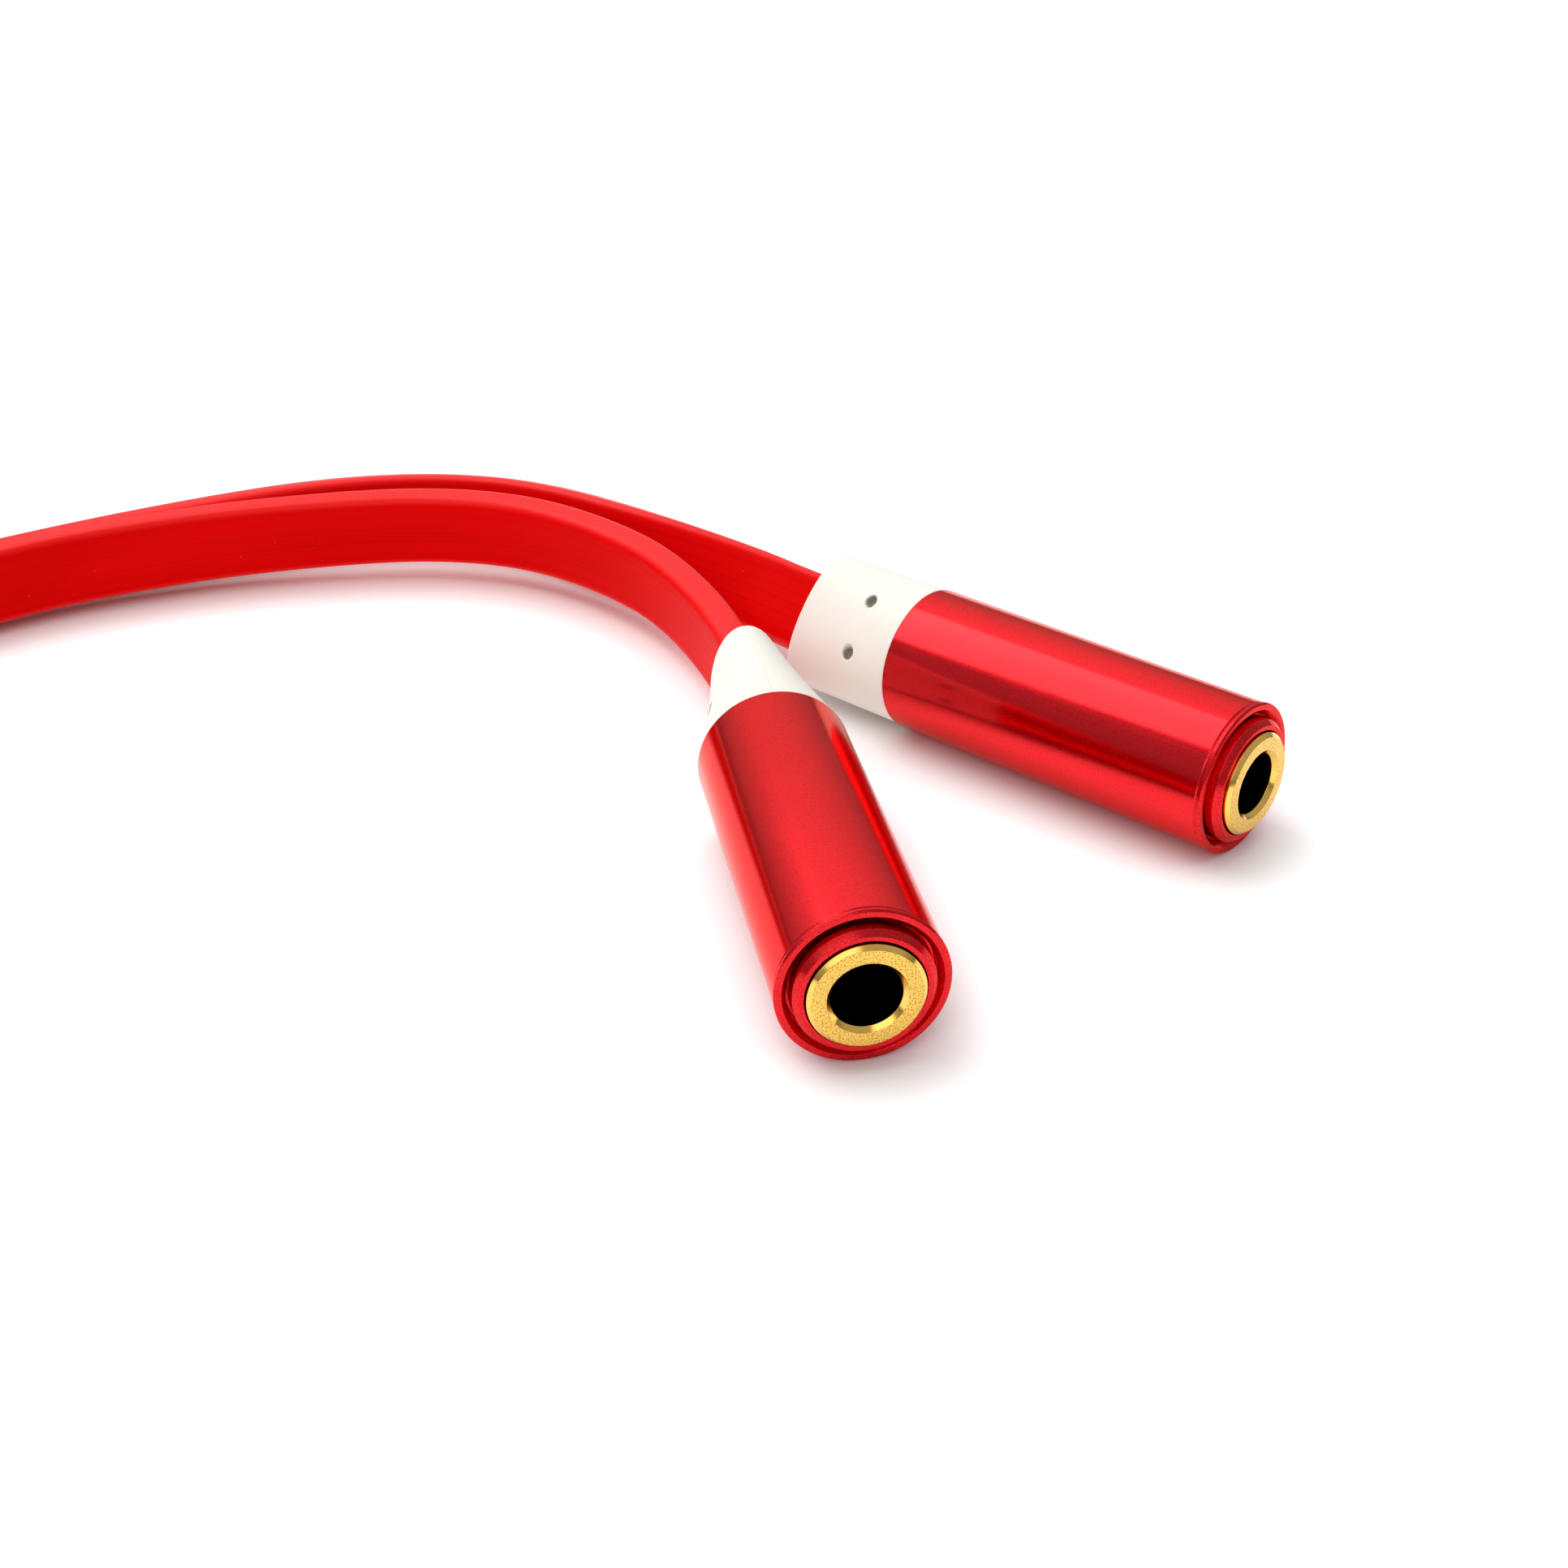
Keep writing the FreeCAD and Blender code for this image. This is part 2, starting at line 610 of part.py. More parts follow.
def make_pin(name):
    """Tip, ring and sleeve, each with its tube inside the next, and the insulators between them."""
    d = dim
    point = -d["pin_length"]
    tip = turned_body(name + "_tip", [
        (0, point),
        (d["tip_point_radius"], point),
        (d["pin_radius"], -d["tip_crown"]),
        (d["tip_neck_radius"], -d["tip_neck"]),
        (d["pin_radius"], -d["tip_root"]),
        (d["rod_radius"], -d["tip_root"]),
        (d["rod_radius"], d["rod_rear"]),
        (0, d["rod_rear"]),
    ])
    tip_insulator = turned_body(name + "_tip_insulator", [
        (d["rod_radius"], -d["tip_root"]),
        (d["pin_radius"], -d["tip_root"]),
        (d["pin_radius"], -d["ring_front"]),
        (d["inner_tube_radius"], -d["ring_front"]),
        (d["inner_tube_radius"], d["inner_tube_rear"]),
        (d["rod_radius"], d["inner_tube_rear"]),
    ])
    ring = turned_body(name + "_ring", [
        (d["inner_tube_radius"], -d["ring_front"]),
        (d["pin_radius"], -d["ring_front"]),
        (d["pin_radius"], -d["ring_rear"]),
        (d["ring_tube_radius"], -d["ring_rear"]),
        (d["ring_tube_radius"], d["ring_tube_rear"]),
        (d["inner_tube_radius"], d["ring_tube_rear"]),
    ])
    ring_insulator = turned_body(name + "_ring_insulator", [
        (d["ring_tube_radius"], -d["ring_rear"]),
        (d["pin_radius"], -d["ring_rear"]),
        (d["pin_radius"], -d["sleeve_front"]),
        (d["outer_tube_radius"], -d["sleeve_front"]),
        (d["outer_tube_radius"], d["outer_tube_rear"]),
        (d["ring_tube_radius"], d["outer_tube_rear"]),
    ])
    sleeve = turned_body(name + "_sleeve", [
        (d["outer_tube_radius"], -d["sleeve_front"]),
        (d["pin_radius"], -d["sleeve_front"]),
        (d["pin_radius"], 0),
        (d["ring_radius"] - d["ring_bevel"], 0),
        (d["ring_radius"], d["ring_bevel"]),
        (d["ring_radius"], d["front_wall_rear"]),
        (d["collar_radius"], d["front_wall_rear"]),
        (d["collar_radius"], d["collar_rear"]),
        (d["sleeve_tail_radius"], d["collar_rear"]),
        (d["sleeve_tail_radius"], d["sleeve_rear"]),
        (d["outer_tube_radius"], d["sleeve_rear"]),
    ])
    return [tip, tip_insulator, ring, ring_insulator, sleeve]


def plug_wire_routes():
    """Tip, ring and ground wires of both cords, from the pin's tubes to the ends of the cords."""
    entry = length("mould_rear")
    end = length("cord_start")
    row = length("wire_row")
    half_pair = length("pair_spacing") / 2
    beside = length("wire_radius") + 0.05
    ring_height = -(length("ring_tube_radius") + 0.1)
    ground_side = length("sleeve_tail_radius") - length("wire_radius")
    solder = length("solder_gap")
    routes = {}
    for cord, side in (("a", 1), ("b", -1)):
        starts = {
            "tip": (Vector(side * beside, length("rod_rear") + solder, 0), row),
            "ring": (Vector(side * beside, length("ring_tube_rear") + solder, ring_height), -row),
            "ground": (Vector(side * ground_side, length("sleeve_rear") + solder, 0), 0),
        }
        for wire, (start, rise) in starts.items():
            bend = Vector(side * half_pair, entry, rise)
            routes["%s_wire_%s" % (wire, cord)] = [start, bend, Vector(side * half_pair, end, rise)]
    return routes


def make_plug(name):
    place = connector_placement(name)
    routes = plug_wire_routes()
    slot_half_width = dim["pair_spacing"].half() + dim["cord_thickness"].half()
    pieces = make_pin(name)
    pieces.append(make_shell(name + "_shell"))
    pieces.append(make_inner_mould(name + "_inner_mould", dim["plug_mould_front"], list(routes.values())))
    pieces.append(make_boot(name + "_boot", dim["plug_boot_end_half_width"], slot_half_width, False))
    for wire, route in routes.items():
        pieces.append(make_wire("%s_%s" % (name, wire), route))
    for piece in pieces:
        piece.Placement = place
    return pieces


# ---------------------------------------------------------------- cords

# Middle of each cord from its socket to the plug, and how far its top leans to the right there, in
# degrees, seen along the route. The first and last points lie inside the boots.
CORD_A_ROUTE = [
    (-11.98, 6.71, 4.38, 0),
    (-11.98, 14.21, 4.34, 0),
    (-14.18, 25.21, 4.16, -3),
    (-17.68, 31.71, 4.10, -5),
    (-22.48, 37.01, 4.02, -6),
    (-28.78, 40.11, 3.90, -6),
    (-36.38, 41.21, 3.75, -5),
    (-45.38, 41.31, 3.58, -3),
    (-56.68, 39.21, 3.44, 0),
    (-66.78, 34.01, 3.20, 0),
    (-74.78, 28.01, 3.00, 0),
    (-80.48, 20.41, 3.40, 0),
    (-82.78, 12.01, 4.30, 0),
    (-82.78, 4.51, 4.38, 0),
]
CORD_B_ROUTE = [
    (-3.29, 15.65, 4.38, 40),
    (-6.54, 19.97, 4.34, 40),
    (-9.18, 25.61, 3.81, 33),
    (-15.08, 34.01, 3.37, 24),
    (-21.48, 41.21, 3.10, 20),
    (-28.08, 44.81, 2.90, 18),
    (-36.18, 46.01, 2.75, 12),
    (-45.98, 44.51, 2.66, 5),
    (-57.38, 41.31, 2.63, 0),
    (-67.88, 36.91, 2.63, 0),
    (-76.58, 30.51, 2.80, 0),
    (-82.68, 21.81, 3.40, 0),
    (-85.18, 12.01, 4.30, 0),
    (-85.18, 4.51, 4.38, 0),
]


def cord_section(place, direction, lean):
    """Rounded rectangle on edge, square to the cord, its top leaning to the right by that angle."""
    half_thickness = length("cord_thickness") / 2
    half_width = length("cord_width") / 2
    corner = length("cord_corner")
    blank = Part.makeBox(2 * half_thickness, 1, 2 * half_width, Vector(-half_thickness, 0, -half_width))
    uprights = [edge for edge in blank.Edges if abs(edge.tangentAt(edge.FirstParameter).y) > 0.9]
    face = [f for f in blank.makeFillet(corner, uprights).Faces if f.CenterOfMass.y < 1e-6][0]
    outline = face.OuterWire
    side = direction.cross(Z_DIR).normalize()
    up = side.cross(direction).normalize()
    turn = Rotation(side, direction, up, "XYZ").multiply(Rotation(Y_DIR, lean))
    outline.Placement = Placement(place, turn)
    return outline


def make_cord(label, route):
    """A flat cord along the route. Its section turns evenly from the end of one bend to the next."""
    path, radii = rounded_path([point[:3] for point in route])
    sweep = Part.BRepOffsetAPI.MakePipeShell(path)
    sweep.setBiNormalMode(Z_DIR)
    for index, (x, y, z, lean) in enumerate(route):
        run = path.OrderedEdges[min(2 * index, len(path.OrderedEdges) - 1)]
        last = index == len(route) - 1
        direction = run.tangentAt(run.FirstParameter)
        vertex = path.OrderedVertexes[-1 if last else 2 * index]
        section = cord_section(vertex.Point, direction, lean)
        sweep.add(section, vertex)
    sweep.build()
    sweep.makeSolid()
    cord = doc.addObject("Part::Feature", label)
    cord.Label = label
    cord.Shape = sweep.shape()
    expected = Part.Face(section).Area * path.Length
    ratio = cord.Shape.Volume / expected
    print("%s: length %.1f mm, volume ratio %.4f, smallest radius %.1f mm" %
          (label, path.Length, ratio, min(radii)))
    print("  radii " + " ".join("%.1f" % radius for radius in radii))
    if abs(ratio - 1) > 0.01:
        raise RuntimeError(label + " has the wrong volume")
    return cord


# ---------------------------------------------------------------- build, check and write

parts = make_socket("socket_a") + make_socket("socket_b") + make_plug("plug")
parts.append(make_cord("cord_a", CORD_A_ROUTE))
parts.append(make_cord("cord_b", CORD_B_ROUTE))
doc.recompute()

for item in doc.Objects:
    if "Invalid" in item.State or "Error" in item.State:
        raise RuntimeError("%s failed: %s" % (item.Label, item.State))
for part in parts:
    if part.Shape.isNull() or not part.Shape.isValid():
        raise RuntimeError(part.Label + " has no valid shape")
    if len(part.Shape.Solids) != 1:
        raise RuntimeError("%s has %d solids" % (part.Label, len(part.Shape.Solids)))

os.makedirs("parts", exist_ok=True)
for part in parts:
    part.Shape.exportStep(os.path.join("parts", part.Label + ".step"))
print("%d parts written" % len(parts))
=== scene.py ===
import json
import math

import bmesh
import bpy
from mathutils import Matrix, Vector


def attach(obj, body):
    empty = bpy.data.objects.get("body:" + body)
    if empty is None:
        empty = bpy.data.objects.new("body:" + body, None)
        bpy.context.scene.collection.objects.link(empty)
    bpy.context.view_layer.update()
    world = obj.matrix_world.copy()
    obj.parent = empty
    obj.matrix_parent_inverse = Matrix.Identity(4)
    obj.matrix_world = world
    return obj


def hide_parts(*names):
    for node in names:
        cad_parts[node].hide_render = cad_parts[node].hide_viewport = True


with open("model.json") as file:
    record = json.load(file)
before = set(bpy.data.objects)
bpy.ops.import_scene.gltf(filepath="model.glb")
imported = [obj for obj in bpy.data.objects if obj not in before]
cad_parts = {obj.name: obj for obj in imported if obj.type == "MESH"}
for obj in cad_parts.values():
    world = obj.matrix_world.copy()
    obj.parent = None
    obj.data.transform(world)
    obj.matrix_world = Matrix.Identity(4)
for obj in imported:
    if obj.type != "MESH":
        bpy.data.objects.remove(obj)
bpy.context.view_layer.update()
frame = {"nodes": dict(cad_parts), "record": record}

# Stereo splitter lead on a white table: two red in-line sockets with white boots, two flat red cords
# that run off side by side, and the plug at their far end. Every object is in metres, in the CAD's frame.
# A connector's own frame has its axis along Y, its mouth faces -Y and y = 0 is its front face.
# Outlines, pattern sizes and depths are in millimetres of that frame.

MM = 0.001
UP = Vector((0, 0, 1))

# A boot: its spigot in the barrel, its cone outside, and two dimples in the broad face on the -X side.
BOOT_INSIDE = 21.4
SPIGOT_RADIUS = 3.40
BOOT_FRONT = 23.3
BOOT_REAR = 32.4
BOOT_LENGTH = BOOT_REAR - BOOT_FRONT
BOOT_RADIUS = 4.32
BOOT_FRONT_ROUNDING = 0.12
BOOT_END_HEIGHT = 4.30
BOOT_END_ROUNDING = 0.8
BOOT_ROUNDNESS = 2.12
SOCKET_BOOT_END_WIDTH = 2.09
PLUG_BOOT_END_WIDTH = 2.85
DIMPLE_PLACE = 26.8
DIMPLE_SPREAD = 1.7
DIMPLE_RADIUS = 0.44
DIMPLE_DEPTH = 0.55
# Where the painted shade in a dimple starts, on its rim, and where it is darkest.
DIMPLE_RIM = -3.04
DIMPLE_SHADE_DEEPEST = -2.70


# ---------------------------------------------------------------- camera

# Place in metres, turns in degrees, lens and sensor in millimetres.
CAMERA_PLACE = (-0.03212, -0.10597, 0.06889)
CAMERA_YAW = -10.839
CAMERA_PITCH = -31.04
CAMERA_ROLL = -1.011
CAMERA_LENS = 51.59
CAMERA_SENSOR = 36


def make_camera():
    data = bpy.data.cameras.new("camera")
    data.lens = CAMERA_LENS
    data.sensor_width = CAMERA_SENSOR
    data.clip_start = 0.005
    data.clip_end = 20
    camera = bpy.data.objects.new("camera", data)
    turn = Matrix.Rotation(math.radians(CAMERA_YAW), 4, "Z")
    turn = turn @ Matrix.Rotation(math.radians(90 + CAMERA_PITCH), 4, "X")
    turn = turn @ Matrix.Rotation(math.radians(CAMERA_ROLL), 4, "Z")
    camera.matrix_world = Matrix.Translation(CAMERA_PLACE) @ turn
    bpy.context.scene.collection.objects.link(camera)
    bpy.context.scene.camera = camera


# ---------------------------------------------------------------- light and floor

SOFTBOX_PLACE = Vector((-0.68, 0.56, 1.44))
SOFTBOX_SIDE = 1.44
SOFTBOX_RADIANCE = 2.5
FLOOR_HALF = 3.0
FLOOR_GLOW = 0.36
# The floor's painted glow fades where something stands this close over the floor, which paints a contact
# shadow there, and is gone below this openness.
CONTACT_REACH = 0.005
CONTACT_OPENNESS = 0.35


def make_softbox():
    light = bpy.data.lights.new("softbox", "AREA")
    light.shape = "SQUARE"
    light.size = SOFTBOX_SIDE
    light.energy = SOFTBOX_RADIANCE * math.pi * SOFTBOX_SIDE ** 2
    softbox = bpy.data.objects.new("softbox", light)
    softbox.location = SOFTBOX_PLACE
    softbox.rotation_mode = "QUATERNION"
    softbox.rotation_quaternion = (-SOFTBOX_PLACE).to_track_quat("-Z", "Y")
    bpy.context.scene.collection.objects.link(softbox)


def make_world():
    """A dim room, darkest at the table's edge, with a pale wall behind the object and a lamp up on the
    camera's left. The camera itself sees plain white."""
    world = bpy.data.worlds.new("studio")
    world.use_nodes = True
    bpy.context.scene.world = world
    tree = world.node_tree
    nodes, links = tree.nodes, tree.links
    nodes.clear()
    output = nodes.new("ShaderNodeOutputWorld")
    direction = nodes.new("ShaderNodeTexCoord")
    axes = nodes.new("ShaderNodeSeparateXYZ")
    links.new(direction.outputs["Generated"], axes.inputs[0])

    def eased(axis, low, high, to_low, to_high):
        """Goes softly from to_low to to_high where that part of the direction goes from low to high."""
        node = nodes.new("ShaderNodeMapRange")
        node.interpolation_type = "SMOOTHSTEP"
        links.new(axes.outputs[axis], node.inputs["Value"])
        node.inputs["From Min"].default_value = low
        node.inputs["From Max"].default_value = high
        node.inputs["To Min"].default_value = to_low
        node.inputs["To Max"].default_value = to_high
        return node.outputs["Result"]

    def combined(operation, first, second):
        node = nodes.new("ShaderNodeMath")
        node.operation = operation
        links.new(first, node.inputs[0])
        links.new(second, node.inputs[1])
        return node.outputs[0]

    # Brightness by direction. The camera looks towards +Y, X is to its right and Z is up.
    wall = combined("MULTIPLY", eased("Y", 0.2, 0.6, 0, 1), eased("Z", 0.1, 0.75, 0.30, 1.02))
    wall = combined("MULTIPLY", wall, eased("X", -0.6, 0.8, 1.12, 0.72))
    room = eased("Z", 0.05, 0.4, 0.36, 0.60)
    horizon = eased("Z", 0.0, 0.12, 0.12, 1)
    strength = combined("MULTIPLY", combined("ADD", wall, room), horizon)
    lamp = combined("MULTIPLY", eased("Y", -0.35, -0.55, 0, 1.5), eased("Z", 0.30, 0.45, 0, 1))
    lamp = combined("MULTIPLY", lamp, eased("X", 0.10, -0.10, 0, 1))
    strength = combined("ADD", strength, lamp)

    seen = nodes.new("ShaderNodeLightPath")
    lit = nodes.new("ShaderNodeBackground")
    links.new(strength, lit.inputs["Strength"])
    white = nodes.new("ShaderNodeBackground")
    white.inputs["Strength"].default_value = 1.0
    white.inputs["Color"].default_value = (1, 1, 1, 1)
    choice = nodes.new("ShaderNodeMixShader")
    links.new(seen.outputs["Is Camera Ray"], choice.inputs[0])
    links.new(lit.outputs[0], choice.inputs[1])
    links.new(white.outputs[0], choice.inputs[2])
    links.new(choice.outputs[0], output.inputs["Surface"])


def make_floor():
    """A white table with a faint painted glow, which keeps the wide shadows pale; near things on it the glow
    fades into a painted contact shadow.
    """
    mesh = bpy.data.meshes.new("floor")
    corners = [(x * FLOOR_HALF, y * FLOOR_HALF, 0) for x, y in ((-1, -1), (1, -1), (1, 1), (-1, 1))]
    mesh.from_pydata(corners, [], [(0, 1, 2, 3)])
    floor = bpy.data.objects.new("floor", mesh)
    bpy.context.scene.collection.objects.link(floor)
    material = bpy.data.materials.new("white_table")
    material.use_nodes = True
    shader = material.node_tree.nodes["Principled BSDF"]
    shader.inputs["Base Color"].default_value = (0.92, 0.92, 0.92, 1)
    shader.inputs["Roughness"].default_value = 0.7
    shader.inputs["Specular IOR Level"].default_value = 0.2
    shader.inputs["Emission Color"].default_value = (1, 1, 1, 1)
    nodes, links = material.node_tree.nodes, material.node_tree.links
    # Painted contact shadow: ambient occlusion dims the floor's painted glow near things standing on it.
    openness = nodes.new("ShaderNodeAmbientOcclusion")
    openness.samples = 8
    openness.inputs["Distance"].default_value = CONTACT_REACH
    glow = nodes.new("ShaderNodeMapRange")
    links.new(openness.outputs["AO"], glow.inputs["Value"])
    glow.inputs["From Min"].default_value = CONTACT_OPENNESS
    glow.inputs["To Max"].default_value = FLOOR_GLOW
    links.new(glow.outputs["Result"], shader.inputs["Emission Strength"])
    mesh.materials.append(material)


# ---------------------------------------------------------------- materials

class Finish:
    """A procedural material. Its patterns are placed in millimetres, in the piece's own frame or,
    for a cord, along and round it."""

    def __init__(self, name, along_cord=False):
        self.material = bpy.data.materials.new(name)
        self.material.use_nodes = True
        self.tree = self.material.node_tree
        self.shader = self.tree.nodes["Principled BSDF"]
        if along_cord:
            place = self.tree.nodes.new("ShaderNodeUVMap")
            place.uv_map = "along"
            self.place = place.outputs["UV"]
        else:
            place = self.tree.nodes.new("ShaderNodeTexCoord")
            self.place = self.scaled(place.outputs["Object"], (1 / MM,) * 3)

    def put(self, socket, value):
        if isinstance(value, bpy.types.NodeSocket):
            self.tree.links.new(value, socket)
        else:
            socket.default_value = value

    def scaled(self, vector, factors):
        node = self.tree.nodes.new("ShaderNodeVectorMath")
        node.operation = "MULTIPLY"
        self.put(node.inputs[0], vector)
        self.put(node.inputs[1], factors)
        return node.outputs[0]

    def pattern_place(self, factors, offset):
        """Coordinates for a pattern: the place scaled by the factors and moved by the offset."""
        shift = self.tree.nodes.new("ShaderNodeVectorMath")
        shift.operation = "ADD"
        self.put(shift.inputs[0], self.scaled(self.place, factors))
        self.put(shift.inputs[1], (offset,) * 3)
        return shift.outputs[0]

    def noise(self, size, stretch=(1, 1, 1), detail=2.0, offset=0.0):
        """Soft random pattern from 0 to 1 with features of that size, longer where stretch is above 1."""
        node = self.tree.nodes.new("ShaderNodeTexNoise")
        self.put(node.inputs["Vector"], self.pattern_place([1 / (size * s) for s in stretch], offset))
        self.put(node.inputs["Scale"], 1.0)
        self.put(node.inputs["Detail"], detail)
        return node.outputs["Fac"]

    def specks(self, spacing, radius, offset=0.0):
        """1 in small round spots of that radius, spaced at random, and 0 elsewhere."""
        node = self.tree.nodes.new("ShaderNodeTexVoronoi")
        self.put(node.inputs["Vector"], self.pattern_place((1 / spacing,) * 3, offset))
        self.put(node.inputs["Scale"], 1.0)
        reach = radius / spacing
        return self.ranged(node.outputs["Distance"], reach, reach * 0.6, 0, 1)

    def ranged(self, value, low, high, to_low, to_high):
        """Goes softly from to_low to to_high where the value goes from low to high."""
        node = self.tree.nodes.new("ShaderNodeMapRange")
        node.interpolation_type = "SMOOTHSTEP"
        self.put(node.inputs["Value"], value)
        self.put(node.inputs["From Min"], low)
        self.put(node.inputs["From Max"], high)
        self.put(node.inputs["To Min"], to_low)
        self.put(node.inputs["To Max"], to_high)
        return node.outputs["Result"]

    def math(self, operation, first, second):
        node = self.tree.nodes.new("ShaderNodeMath")
        node.operation = operation
        self.put(node.inputs[0], first)
        self.put(node.inputs[1], second)
        return node.outputs[0]

    def axis(self, name):
        """One coordinate of the place."""
        node = self.tree.nodes.new("ShaderNodeSeparateXYZ")
        self.put(node.inputs[0], self.place)
        return node.outputs[name]

    def distance(self, first, second):
        """Length of a line with these two parts at right angles."""
        squares = [self.math("POWER", part, 2.0) for part in (first, second)]
        return self.math("POWER", self.math("ADD", *squares), 0.5)

    def mixed(self, factor, first, second):
        node = self.tree.nodes.new("ShaderNodeMix")
        node.data_type = "RGBA"
        self.put(node.inputs["Factor"], factor)
        self.put(node.inputs["A"], (*first, 1) if isinstance(first, tuple) else first)
        self.put(node.inputs["B"], (*second, 1) if isinstance(second, tuple) else second)
        return node.outputs["Result"]

    def bumped(self, height, depth, below=None):
        """A normal that rises by depth millimetres where height goes from 0 to 1."""
        node = self.tree.nodes.new("ShaderNodeBump")
        self.put(node.inputs["Height"], height)
        self.put(node.inputs["Distance"], depth * MM)
        if below is not None:
            self.put(node.inputs["Normal"], below)
        return node.outputs["Normal"]

    def set(self, **values):
        """Sets the shader's sockets: base_color=..., roughness=... and so on."""
        for name, value in values.items():
            socket = self.shader.inputs[name.replace("_", " ").title().replace("Ior", "IOR")]
            if isinstance(value, tuple) and socket.type == "RGBA":
                value = (*value, 1)
            self.put(socket, value)
        return self.material


def red_anodised():
    """Dyed aluminium under its clear skin: drawn lines along the barrel, a blasted nose, dust and specks."""
    finish = Finish("red_anodised")
    patches = finish.noise(2.6, (1, 3, 1), 3.0)
    grain = finish.noise(0.055, detail=1.0)
    dust = finish.noise(0.11, detail=2.0, offset=2.2)
    nose = finish.ranged(finish.axis("Y"), 1.45, 1.38, 0, 1)
    dyed = finish.mixed(patches, (0.70, 0.005, 0.010), (0.84, 0.009, 0.016))
    dulled = finish.mixed(finish.ranged(dust, 0.42, 0.68, 0, 0.38), dyed, (0.42, 0.003, 0.008))
    speckled = finish.mixed(finish.math("MULTIPLY", finish.ranged(grain, 0.50, 0.62, 0, 0.75), nose),
                            dulled, (0.30, 0.001, 0.004))
    dark = finish.math("MAXIMUM", finish.specks(2.3, 0.035), finish.specks(0.55, 0.022, 7.3))
    worn = finish.mixed(finish.math("MULTIPLY", dark, finish.ranged(patches, 0.5, 0.56, 0, 0.8)),
                        speckled, (0.10, 0.002, 0.004))
    lines = finish.noise(0.16, (1, 60, 1), 2.0, 3.1)
    rough = finish.math("ADD", finish.ranged(lines, 0.3, 0.7, 0.17, 0.23),
                        finish.math("MULTIPLY", nose, finish.ranged(grain, 0.35, 0.65, 0.04, 0.16)))
    skin = finish.bumped(lines, 0.0008)
    depth = finish.math("MULTIPLY", grain, finish.ranged(nose, 0, 1, 0.3, 1))
    skin = finish.bumped(depth, 0.0035, skin)
    return finish.set(base_color=worn, metallic=1.0, roughness=rough, normal=skin,
                      coat_weight=0.32, coat_roughness=0.12, coat_ior=1.5,
                      specular_tint=(1.0, 0.42, 0.38))


def gold():
    """Gold-plated brass: a blasted face with dark pits, bright machined bevels and painted shade in the bore,
    coloured near black.
    """
    finish = Finish("gold")
    patches = finish.noise(0.8, detail=3.0)
    grain = finish.noise(0.085, detail=2.0)
    face = finish.ranged(finish.axis("Y"), 0.03, 0.01, 0, 1)
    from_axis = finish.distance(finish.axis("X"), finish.axis("Z"))
    # Painted shade: the inner wall of the bore is coloured near black, darkest deeper in.
    bore_painted_shade = finish.math("MULTIPLY", finish.ranged(from_axis, 1.86, 1.82, 0, 1),
                         finish.ranged(finish.axis("Y"), 0.2, 0.6, 0, 1))
    plated = finish.mixed(patches, (0.84, 0.50, 0.095), (0.93, 0.60, 0.15))
    blotched = finish.mixed(finish.math("MULTIPLY", finish.ranged(grain, 0.46, 0.62, 0, 0.8), face),
                            plated, (0.36, 0.20, 0.03))
    pits = finish.math("MULTIPLY", finish.specks(0.42, 0.03, 1.7), finish.ranged(patches, 0.48, 0.55, 0, 1))
    pits_and_bore_shade = finish.mixed(finish.math("MAXIMUM", pits, bore_painted_shade), blotched, (0.012, 0.006, 0.002))
    blasting = finish.math("MULTIPLY", face, finish.ranged(grain, 0.3, 0.7, 0.10, 0.24))
    rough = finish.math("ADD", 0.16, blasting)
    turned = finish.noise(0.05, (1, 1, 1), 1.0, 5.0)
    skin = finish.bumped(turned, 0.0012)
    skin = finish.bumped(finish.math("MULTIPLY", grain, face), 0.004, skin)
    return finish.set(base_color=pits_and_bore_shade, metallic=1.0, roughness=rough, normal=skin)


def boot_white():
    """Soft off-white elastomer: fine texture, faint flow marks, a parting line, grime specks and painted
    shade in the dimples.
    """
    finish = Finish("boot_white")
    flow = finish.noise(2.4, (1, 2, 1), 3.0)
    grain = finish.noise(0.07, detail=2.0)
    body = finish.mixed(flow, (0.88, 0.845, 0.765), (0.93, 0.90, 0.83))
    grime_and_dimple_shade = finish.mixed(finish.specks(0.9, 0.03, 2.9), body, (0.45, 0.40, 0.33))
    # Painted shade in the dimples: darker towards their deepest part.
    from_dimple = finish.distance(
        finish.math("SUBTRACT", finish.axis("Y"), DIMPLE_PLACE),
        finish.math("SUBTRACT", finish.math("ABSOLUTE", finish.axis("Z"), 0.0), DIMPLE_SPREAD))
    dimple_painted_shade = finish.math("MULTIPLY", finish.ranged(from_dimple, DIMPLE_RADIUS + 0.04, DIMPLE_RADIUS, 0, 1),
                            finish.ranged(finish.axis("X"), DIMPLE_RIM, DIMPLE_SHADE_DEEPEST, 0, 0.88))
    grime_and_dimple_shade = finish.mixed(dimple_painted_shade, grime_and_dimple_shade, (0.20, 0.17, 0.10))
    parting = finish.ranged(finish.math("ABSOLUTE", finish.axis("X"), 0.0), 0.05, 0.02, 0, 1)
    skin = finish.bumped(grain, 0.004)
    skin = finish.bumped(parting, 0.012, skin)
    return finish.set(base_color=grime_and_dimple_shade, roughness=finish.ranged(flow, 0.3, 0.7, 0.44, 0.56), normal=skin,
                      subsurface_weight=0.25, subsurface_scale=0.0006, specular_ior_level=0.4)


CORD_HALF_THICKNESS = 1.05
CORD_HALF_WIDTH = 2.60
CORD_CORNER = 0.62
# The way round a cord. Its map of places starts in the middle of its top.
CORD_GIRTH = 13.54
# Way from the middle of a narrow edge to where its painted highlight and extra shine start to fade, and to
# where they have gone.
CORD_EDGE_FADES = 0.80
CORD_EDGE_GONE = 1.45


